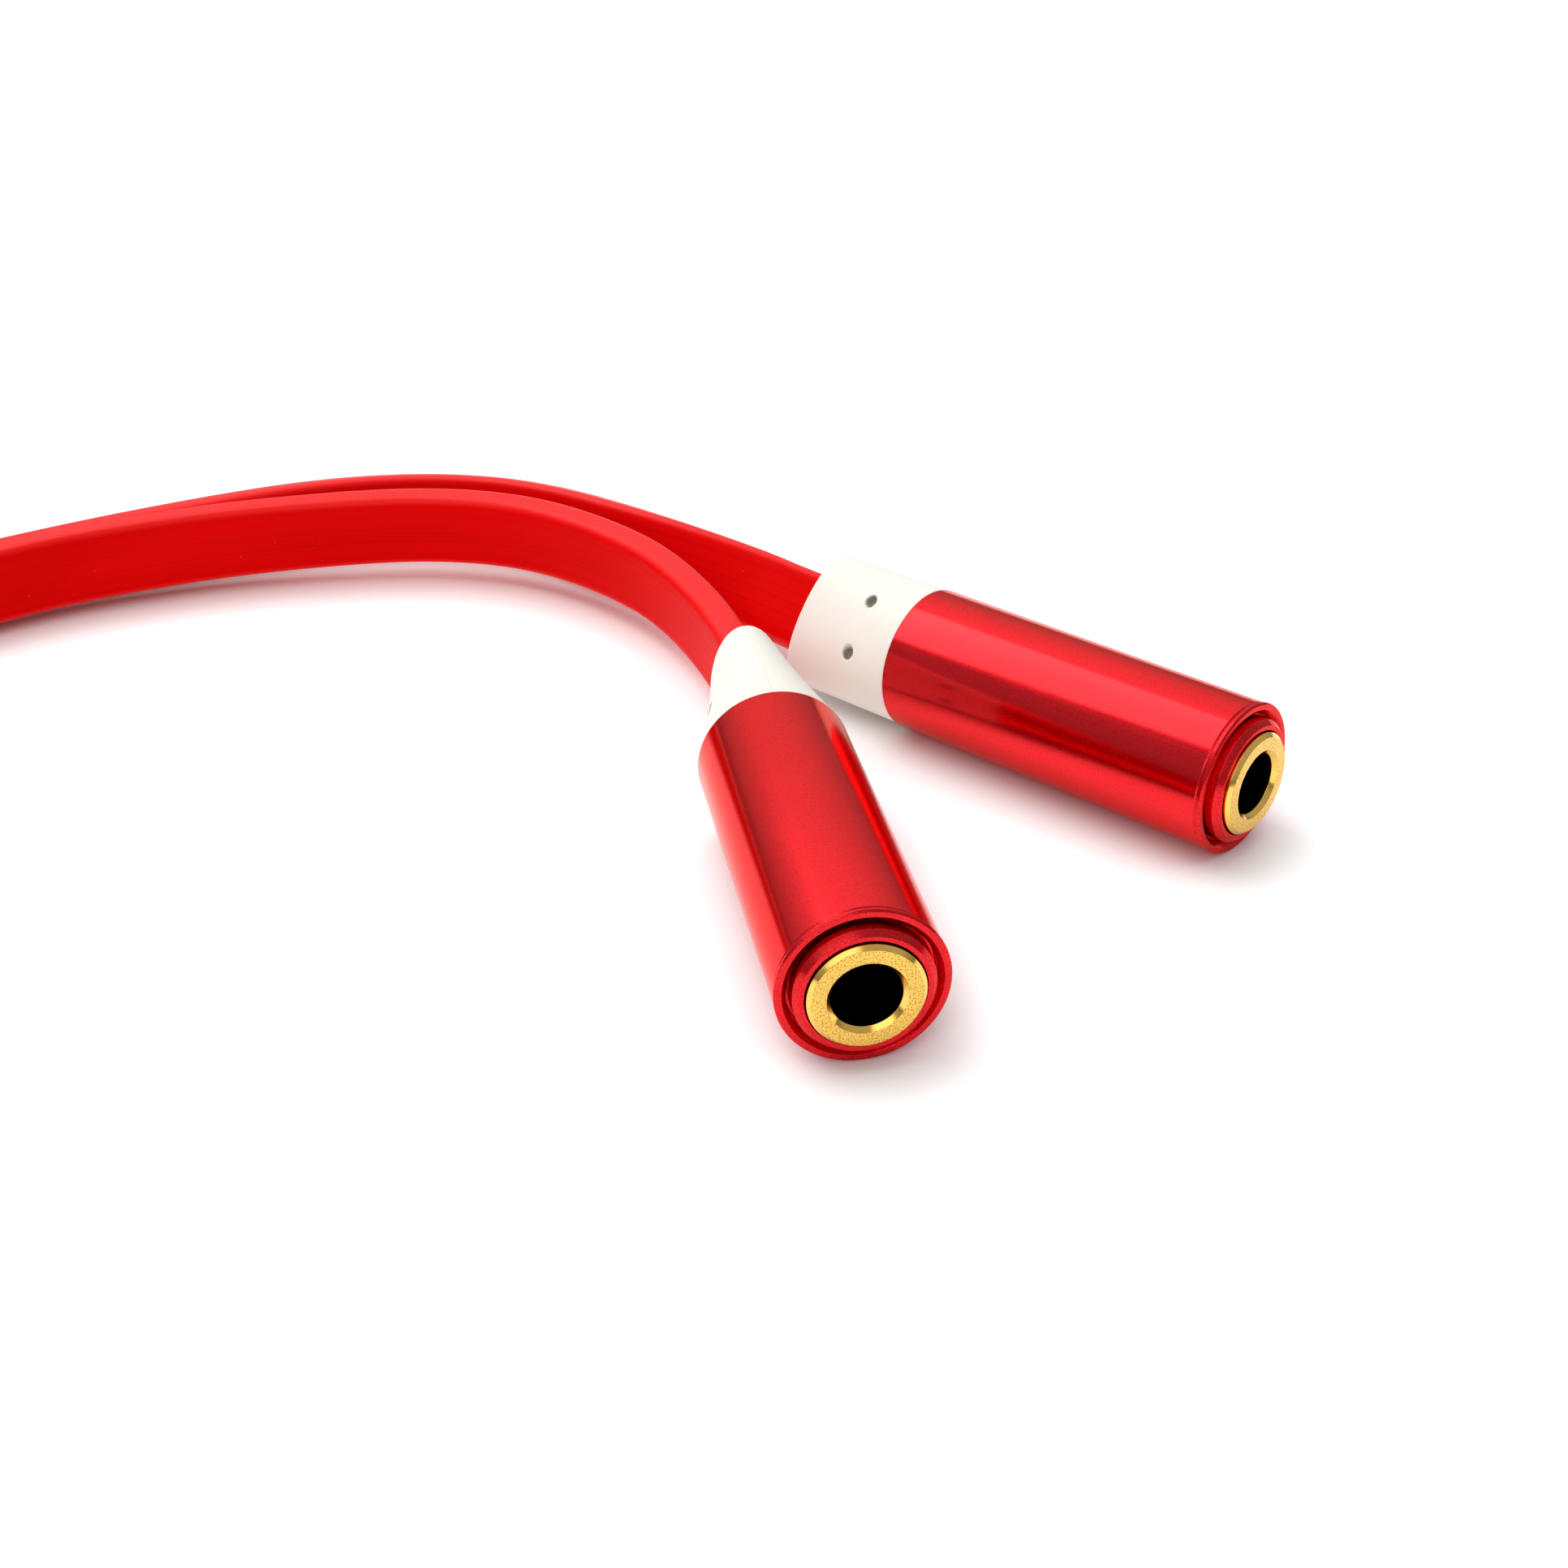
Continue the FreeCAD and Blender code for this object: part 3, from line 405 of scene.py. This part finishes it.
def cord_red():
    """Satin red PVC, extruded: faint lines along the cord, slow changes of tone and a little dust. The narrow
    edges get a painted highlight, a lighter colour, and are shinier than the broad faces."""
    finish = Finish("cord_red", along_cord=True)
    lines = finish.noise(0.22, (260, 1, 1), 2.0)
    tone = finish.noise(5.0, (4, 1, 1), 2.0, 4.4)
    grain = finish.noise(0.09, (2, 1, 1), 2.0, 9.1)
    dyed = finish.mixed(finish.ranged(tone, 0.3, 0.7, 0, 1), (0.66, 0.0003, 0.0006), (0.74, 0.0006, 0.0010))
    streaked = finish.mixed(finish.ranged(lines, 0.45, 0.75, 0, 0.5), dyed, (0.53, 0.0002, 0.0004))
    dusty = finish.mixed(finish.specks(1.3, 0.035, 3.3), streaked, (0.62, 0.20, 0.17))
    rough = finish.ranged(grain, 0.3, 0.7, 0.34, 0.46)
    around = finish.math("PINGPONG", finish.axis("Y"), CORD_GIRTH / 4)
    narrow = finish.ranged(around, CORD_EDGE_GONE, CORD_EDGE_FADES, 0, 1)
    skin = finish.bumped(lines, 0.006)
    skin = finish.bumped(grain, 0.003, skin)
    # Painted highlight: the narrow edges are coloured lighter than the broad faces.
    colour_with_painted_highlight = finish.mixed(finish.math("MULTIPLY", narrow, 0.8), dusty, (0.93, 0.004, 0.004))
    return finish.set(base_color=colour_with_painted_highlight, roughness=rough, normal=skin,
                      specular_ior_level=finish.ranged(narrow, 0, 1, 0.02, 0.17))


def moulded(name, dark, light, low_rough, high_rough):
    """Moulded plastic of two close tones with a fine grain."""
    finish = Finish(name)
    tone = finish.noise(1.2, detail=3.0)
    grain = finish.noise(0.08, detail=2.0)
    skin = finish.bumped(grain, 0.004)
    return finish.set(base_color=finish.mixed(tone, dark, light), normal=skin,
                      roughness=finish.ranged(grain, 0.3, 0.7, low_rough, high_rough))


def drawn_metal(name, dark, light, stretch):
    """Strip or wire with drawing marks along stretch and slight tarnish."""
    finish = Finish(name)
    tone = finish.noise(0.9, detail=3.0)
    marks = finish.noise(0.05, stretch, 2.0)
    skin = finish.bumped(marks, 0.0015)
    return finish.set(base_color=finish.mixed(tone, dark, light), metallic=1.0, normal=skin,
                      roughness=finish.ranged(marks, 0.3, 0.7, 0.20, 0.36))


def make_materials():
    """One material for each slot of the record."""
    return {
        "red_anodised": red_anodised(),
        "gold": gold(),
        "boot_white": boot_white(),
        "cord_red": cord_red(),
        "carrier_black": moulded("carrier_black", (0.008, 0.008, 0.009), (0.016, 0.016, 0.017), 0.4, 0.6),
        "spring_bronze": drawn_metal("spring_bronze", (0.60, 0.34, 0.16), (0.74, 0.46, 0.24), (1, 14, 1)),
        "mould_natural": moulded("mould_natural", (0.62, 0.60, 0.55), (0.72, 0.70, 0.65), 0.35, 0.5),
        "wire_white": moulded("wire_white", (0.74, 0.73, 0.70), (0.82, 0.81, 0.78), 0.35, 0.5),
        "wire_red": moulded("wire_red", (0.50, 0.010, 0.012), (0.62, 0.016, 0.018), 0.35, 0.5),
        "wire_copper": drawn_metal("wire_copper", (0.72, 0.32, 0.18), (0.86, 0.44, 0.28), (1, 10, 1)),
        "pin_insulator": moulded("pin_insulator", (0.010, 0.010, 0.011), (0.020, 0.020, 0.021), 0.3, 0.45),
    }


# ---------------------------------------------------------------- shapes

def dress(mesh, slot):
    mesh.materials.clear()
    mesh.materials.append(materials[slot])


def add_skin(name, mesh, place, slot):
    """A detailed piece that takes the place of the CAD node of that name, on the main body."""
    piece = bpy.data.objects.new(name + "_skin", mesh)
    piece.matrix_world = place
    bpy.context.scene.collection.objects.link(piece)
    dress(mesh, slot)
    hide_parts(name)
    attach(piece, "root")
    return piece


def finished_mesh(name, bm, sharp_degrees):
    bmesh.ops.recalc_face_normals(bm, faces=bm.faces)
    mesh = bpy.data.meshes.new(name)
    bm.to_mesh(mesh)
    bm.free()
    mesh.shade_smooth()
    mesh.set_sharp_from_angle(angle=math.radians(sharp_degrees))
    return mesh


def rounded_outline(corners, steps=5):
    """Corners are (radius, place along the axis, rounding). Each rounding becomes a small arc."""
    points = []
    count = len(corners)
    for index, (radius, along, rounding) in enumerate(corners):
        corner = Vector((radius, along))
        to_before = Vector(corners[index - 1][:2]) - corner
        to_after = Vector(corners[(index + 1) % count][:2]) - corner
        if rounding <= 0:
            points.append(corner)
            continue
        half = to_before.angle(to_after) / 2
        reach = min(rounding / math.tan(half), 0.45 * to_before.length, 0.45 * to_after.length)
        start = corner + to_before.normalized() * reach
        end = corner + to_after.normalized() * reach
        for step in range(steps + 1):
            share = step / steps
            # A parabola through both ends is within a hundredth of a millimetre of the arc here.
            points.append(start.lerp(corner, share).lerp(corner.lerp(end, share), share))
    return points


def turned_mesh(name, corners, segments=160):
    """A closed outline turned about the Y axis."""
    bm = bmesh.new()
    rings = []
    for radius, along in rounded_outline(corners):
        if radius < 1e-6:
            rings.append([bm.verts.new((0, along * MM, 0))])
            continue
        ring = []
        for step in range(segments):
            angle = 2 * math.pi * step / segments
            across, up = radius * math.sin(angle), radius * math.cos(angle)
            ring.append(bm.verts.new((across * MM, along * MM, up * MM)))
        rings.append(ring)
    for ring, after in zip(rings, rings[1:] + rings[:1]):
        for step in range(segments):
            following = (step + 1) % segments
            if len(ring) > 1 and len(after) > 1:
                bm.faces.new((ring[step], ring[following], after[following], after[step]))
            elif len(ring) > 1:
                bm.faces.new((ring[step], ring[following], after[0]))
            elif len(after) > 1:
                bm.faces.new((ring[0], after[following], after[step]))
    return finished_mesh(name, bm, 55)


def rounded_loop(half_width, half_height, corner, quarter_steps):
    """Points round a rounded rectangle, evenly spaced in each quarter, from the top clockwise."""
    flat = half_width - corner
    bend = corner * math.pi / 2
    upright = half_height - corner
    quarter = []
    for step in range(quarter_steps):
        travel = (flat + bend + upright) * step / quarter_steps
        if travel <= flat:
            quarter.append((travel, half_height))
        elif travel <= flat + bend:
            angle = (travel - flat) / corner
            quarter.append((flat + corner * math.sin(angle), upright + corner * math.cos(angle)))
        else:
            quarter.append((half_width, upright - (travel - flat - bend)))
    right = quarter + [(half_width, 0.0)] + [(u, -v) for u, v in reversed(quarter[1:])]
    return right + [(-u, -v) for u, v in right]


def lofted(bm, rings):
    """Bridges rings of points into a closed skin with a flat cap at each end."""
    placed = [[bm.verts.new(point) for point in ring] for ring in rings]
    for ring, after in zip(placed, placed[1:]):
        for index in range(len(ring)):
            following = (index + 1) % len(ring)
            bm.faces.new((ring[index], ring[following], after[following], after[index]))
    bm.faces.new(placed[0])
    bm.faces.new(list(reversed(placed[-1])))


# ---------------------------------------------------------------- connectors

# The bore's middle lies this far behind the front face, and the pin's this far in front of it.
BORE_MIDDLE = 3.6
PIN_MIDDLE = 5.45

# (radius, place along the axis, rounding of that corner)
SHELL_OUTLINE = [
    (3.08, 0.34, 0.03),
    (3.34, 0.34, 0.04),
    (3.62, 0.66, 0.06),
    (3.62, 1.90, 0.04),
    (3.80, 1.90, 0.04),
    (3.80, 1.22, 0.03),
    (4.06, 0.94, 0.03),
    (4.35, 0.94, 0.05),
    (4.45, 1.04, 0.06),
    (4.45, 1.20, 0.05),
    (4.34, 1.30, 0.03),
    (4.40, 1.40, 0.03),
    (4.40, 23.30, 0.07),
    (3.50, 23.30, 0.05),
    (3.50, 2.40, 0.05),
    (3.08, 2.40, 0.03),
]
BUSH_OUTLINE = [
    (2.05, 0.00, 0.02),
    (2.78, 0.00, 0.03),
    (3.00, 0.22, 0.03),
    (3.00, 2.40, 0.03),
    (3.45, 2.40, 0.03),
    (3.45, 3.40, 0.05),
    (3.20, 3.40, 0.03),
    (3.20, 7.10, 0.05),
    (1.80, 7.10, 0.05),
    (1.80, 0.25, 0.04),
]
TIP_OUTLINE = [
    (0.00, -14.00, 0.0),
    (0.60, -14.00, 0.25),
    (1.75, -12.50, 0.30),
    (1.30, -11.50, 0.15),
    (1.75, -10.90, 0.04),
    (0.60, -10.90, 0.02),
    (0.60, 9.00, 0.10),
    (0.00, 9.00, 0.0),
]
SLEEVE_OUTLINE = [
    (1.45, -7.30, 0.02),
    (1.75, -7.30, 0.04),
    (1.75, 0.00, 0.05),
    (2.78, 0.00, 0.05),
    (3.00, 0.22, 0.05),
    (3.00, 2.40, 0.03),
    (3.45, 2.40, 0.03),
    (3.45, 3.40, 0.05),
    (2.50, 3.40, 0.03),
    (2.50, 5.00, 0.05),
    (1.45, 5.00, 0.02),
]


def pin_section(inner, front, rear, tube, tube_rear):
    """Outline of a ring of the pin with the tube that leads back from it."""
    return [
        (inner, front, 0.0),
        (1.75, front, 0.03),
        (1.75, rear, 0.03),
        (tube, rear, 0.0),
        (tube, tube_rear, 0.03),
        (inner, tube_rear, 0.03),
    ]


PIN_OUTLINES = {
    "tip": (TIP_OUTLINE, "gold"),
    "tip_insulator": (pin_section(0.60, -10.90, -10.30, 0.95, 8.0), "pin_insulator"),
    "ring": (pin_section(0.95, -10.30, -7.90, 1.25, 6.5), "gold"),
    "ring_insulator": (pin_section(1.25, -7.90, -7.30, 1.45, 5.5), "pin_insulator"),
    "sleeve": (SLEEVE_OUTLINE, "gold"),
}


def connector_place(mount_name, mount_depth, roll):
    """Matrix of a connector's own frame, from the mount on its axis, that far behind its front face."""
    mount = next(m for m in frame["record"]["mounts"] if m["name"] == mount_name)
    forward = Vector(mount["axis"]).normalized()
    face = Vector(mount["pos_m"]) + forward * mount_depth * MM
    back = -forward
    side = back.cross(UP).normalized()
    turn = Matrix((side, back, side.cross(back))).transposed().to_4x4()
    return Matrix.Translation(face) @ turn @ Matrix.Rotation(math.radians(roll), 4, "Y")


def add_turned(name, outline, place, slot):
    return add_skin(name, turned_mesh(name, outline), place, slot)


def oval_loop(half_width, half_height, quarter_steps):
    """Points round a slightly squared ellipse, from the top clockwise."""
    points = []
    for step in range(4 * quarter_steps):
        angle = math.pi / 2 * step / quarter_steps
        u, v = math.sin(angle), math.cos(angle)
        reach = (abs(u) ** BOOT_ROUNDNESS + abs(v) ** BOOT_ROUNDNESS) ** (-1 / BOOT_ROUNDNESS)
        points.append((half_width * u * reach, half_height * v * reach))
    return points


def boot_ring(along, end_width, steps, inset=0.0):
    """A section of the boot: nearly round at the barrel, a flat upright oval at its end."""
    share = (along - BOOT_FRONT) / BOOT_LENGTH
    narrowing = share * (1.3 - 0.3 * share)
    half_width = BOOT_RADIUS + (end_width - BOOT_RADIUS) * narrowing - inset
    half_height = BOOT_RADIUS + (BOOT_END_HEIGHT - BOOT_RADIUS) * share - inset
    return [(u * MM, along * MM, v * MM) for u, v in oval_loop(half_width, half_height, steps)]


def dimpled(point):
    """Presses two small round dimples into the broad face on the -X side."""
    x, y, z = (c / MM for c in point)
    distance = math.hypot(y - DIMPLE_PLACE, abs(z) - DIMPLE_SPREAD)
    if x >= 0 or distance >= DIMPLE_RADIUS:
        return point
    depth = DIMPLE_DEPTH * math.sqrt(1 - (distance / DIMPLE_RADIUS) ** 2)
    return ((x + depth) * MM, y * MM, z * MM)


def add_boot(name, place, end_width, with_dimples, spacing, steps):
    """A strain relief, with sections that far apart and 4 x steps points in each."""
    rings = []
    for along in (BOOT_INSIDE, BOOT_FRONT):
        spigot = oval_loop(SPIGOT_RADIUS, SPIGOT_RADIUS, steps)
        rings.append([(u * MM, along * MM, v * MM) for u, v in spigot])
    rings.append(boot_ring(BOOT_FRONT, end_width, steps, BOOT_FRONT_ROUNDING))
    rings.append(boot_ring(BOOT_FRONT + BOOT_FRONT_ROUNDING / 4, end_width, steps, BOOT_FRONT_ROUNDING / 3))
    cone_start = BOOT_FRONT + BOOT_FRONT_ROUNDING
    cone_end = BOOT_REAR - BOOT_END_ROUNDING
    count = round((cone_end - cone_start) / spacing)
    for step in range(count + 1):
        along = cone_start + (cone_end - cone_start) * step / count
        ring = boot_ring(along, end_width, steps)
        rings.append([dimpled(p) for p in ring] if with_dimples else ring)
    end_steps = 8
    for step in range(1, end_steps + 1):
        angle = math.pi / 2 * step / end_steps
        along = cone_end + BOOT_END_ROUNDING * math.sin(angle)
        rings.append(boot_ring(along, end_width, steps, BOOT_END_ROUNDING * (1 - math.cos(angle))))
    bm = bmesh.new()
    lofted(bm, rings)
    return add_skin(name, finished_mesh(name, bm, 50), place, "boot_white")


# ---------------------------------------------------------------- cords

# The same routes as the CAD tubes, as control points of a smooth spline, each with the lean of the
# cord's top there, in degrees to the right as seen along the route.
CORD_A_ROUTE = [
    (-0.01198, 0.00671, 0.00438, 0),
    (-0.01198, 0.01421, 0.00434, 0),
    (-0.01418, 0.02521, 0.00416, -3),
    (-0.01768, 0.03171, 0.00410, -5),
    (-0.02248, 0.03701, 0.00402, -6),
    (-0.02878, 0.04011, 0.00390, -6),
    (-0.03638, 0.04121, 0.00375, -5),
    (-0.04538, 0.04131, 0.00358, -3),
    (-0.05668, 0.03921, 0.00344, 0),
    (-0.06678, 0.03401, 0.00320, 0),
    (-0.07478, 0.02801, 0.00300, 0),
    (-0.08048, 0.02041, 0.00340, 0),
    (-0.08278, 0.01201, 0.00430, 0),
    (-0.08278, 0.00451, 0.00438, 0),
]
CORD_B_ROUTE = [
    (-0.00329, 0.01565, 0.00438, 40),
    (-0.00654, 0.01997, 0.00434, 40),
    (-0.00918, 0.02561, 0.00381, 33),
    (-0.01508, 0.03401, 0.00337, 24),
    (-0.02148, 0.04121, 0.00310, 20),
    (-0.02808, 0.04481, 0.00290, 18),
    (-0.03618, 0.04601, 0.00275, 12),
    (-0.04598, 0.04451, 0.00266, 5),
    (-0.05738, 0.04131, 0.00263, 0),
    (-0.06788, 0.03691, 0.00263, 0),
    (-0.07658, 0.03051, 0.00280, 0),
    (-0.08268, 0.02181, 0.00340, 0),
    (-0.08518, 0.01201, 0.00430, 0),
    (-0.08518, 0.00451, 0.00438, 0),
]


def spline_points(name, route):
    """Points read from one NURBS spline with the route as its control points."""
    curve = bpy.data.curves.new(name + "_line", "CURVE")
    curve.dimensions = "3D"
    curve.resolution_u = 24
    spline = curve.splines.new("NURBS")
    spline.points.add(len(route) - 1)
    for point, (x, y, z, _) in zip(spline.points, route):
        point.co = (x, y, z, 1)
    spline.order_u = 3
    spline.use_endpoint_u = True
    line = bpy.data.objects.new(name + "_line", curve)
    mesh = bpy.data.meshes.new_from_object(line)
    points = [vertex.co.copy() for vertex in mesh.vertices]
    bpy.data.meshes.remove(mesh)
    bpy.data.objects.remove(line)
    return points


def lean_at(route, share):
    """The route's lean at that share of the way along it, in even steps between its points."""
    place = share * (len(route) - 1)
    first = min(int(place), len(route) - 2)
    lean, next_lean = route[first][3], route[first + 1][3]
    return lean + (next_lean - lean) * (place - first)


def cord_mesh(name, points, route):
    """A flat cord on edge along these points, leaning as the route says, with a map of millimetres along
    and round it."""
    outline = rounded_loop(CORD_HALF_THICKNESS, CORD_HALF_WIDTH, CORD_CORNER, 12)
    rings = []
    travel = [0.0]
    for index, point in enumerate(points):
        before = points[max(index - 1, 0)]
        after = points[min(index + 1, len(points) - 1)]
        if index:
            travel.append(travel[-1] + (point - before).length)
        direction = (after - before).normalized()
        side = direction.cross(UP).normalized()
        up = side.cross(direction)
        lean = math.radians(lean_at(route, index / (len(points) - 1)))
        across = side * math.cos(lean) - up * math.sin(lean)
        upright = up * math.cos(lean) + side * math.sin(lean)
        rings.append([point + across * u * MM + upright * v * MM for u, v in outline])
    bm = bmesh.new()
    lofted(bm, rings)
    ring_size = len(outline)
    girth = [0.0]
    for start, end in zip(outline, outline[1:] + outline[:1]):
        girth.append(girth[-1] + math.dist(start, end))
    layer = bm.loops.layers.uv.new("along")
    bm.verts.index_update()
    for face in bm.faces:
        places = [divmod(loop.vert.index, ring_size) for loop in face.loops]
        wraps = {step for _, step in places} >= {0, ring_size - 1} and len(face.loops) == 4
        for loop, (ring, step) in zip(face.loops, places):
            turn = girth[ring_size] if wraps and step == 0 else girth[step]
            loop[layer].uv = (travel[ring] / MM, turn)
    return finished_mesh(name, bm, 50)


def add_cord(name, route):
    points = spline_points(name, route)
    return add_skin(name, cord_mesh(name, points, route), Matrix.Identity(4), "cord_red"), points


# ---------------------------------------------------------------- the object

# Pieces that keep their CAD shape, by a part of their name, and the material each gets.
INNER_SLOTS = {
    "carrier": "carrier_black",
    "spring": "spring_bronze",
    "ground_lug": "spring_bronze",
    "mould": "mould_natural",
    "tip_wire": "wire_white",
    "ring_wire": "wire_red",
    "ground_wire": "wire_copper",
}

make_camera()
make_softbox()
make_world()
make_floor()
materials = make_materials()
bpy.context.scene.view_settings.view_transform = "Standard"

for socket, roll in (("socket_a", 180), ("socket_b", 40)):
    place = connector_place(socket + "_bore", BORE_MIDDLE, roll)
    add_turned(socket + "_shell", SHELL_OUTLINE, place, "red_anodised")
    add_turned(socket + "_bush", BUSH_OUTLINE, place, "gold")
    add_boot(socket + "_boot", place, SOCKET_BOOT_END_WIDTH, True, 0.09, 56)

plug_place = connector_place("plug_pin", -PIN_MIDDLE, 0)
plug_pieces = [
    add_turned("plug_shell", SHELL_OUTLINE, plug_place, "red_anodised"),
    add_boot("plug_boot", plug_place, PLUG_BOOT_END_WIDTH, False, 0.3, 32),
]
for part_name, (outline, slot) in PIN_OUTLINES.items():
    plug_pieces.append(add_turned("plug_" + part_name, outline, plug_place, slot))

kept_nodes = {name: node for name, node in frame["nodes"].items() if not node.hide_render}
for node_name, node in kept_nodes.items():
    for name_part, slot in INNER_SLOTS.items():
        if name_part in node_name:
            dress(node.data, slot)

cord_a, points_a = add_cord("cord_a", CORD_A_ROUTE)
cord_b, points_b = add_cord("cord_b", CORD_B_ROUTE)
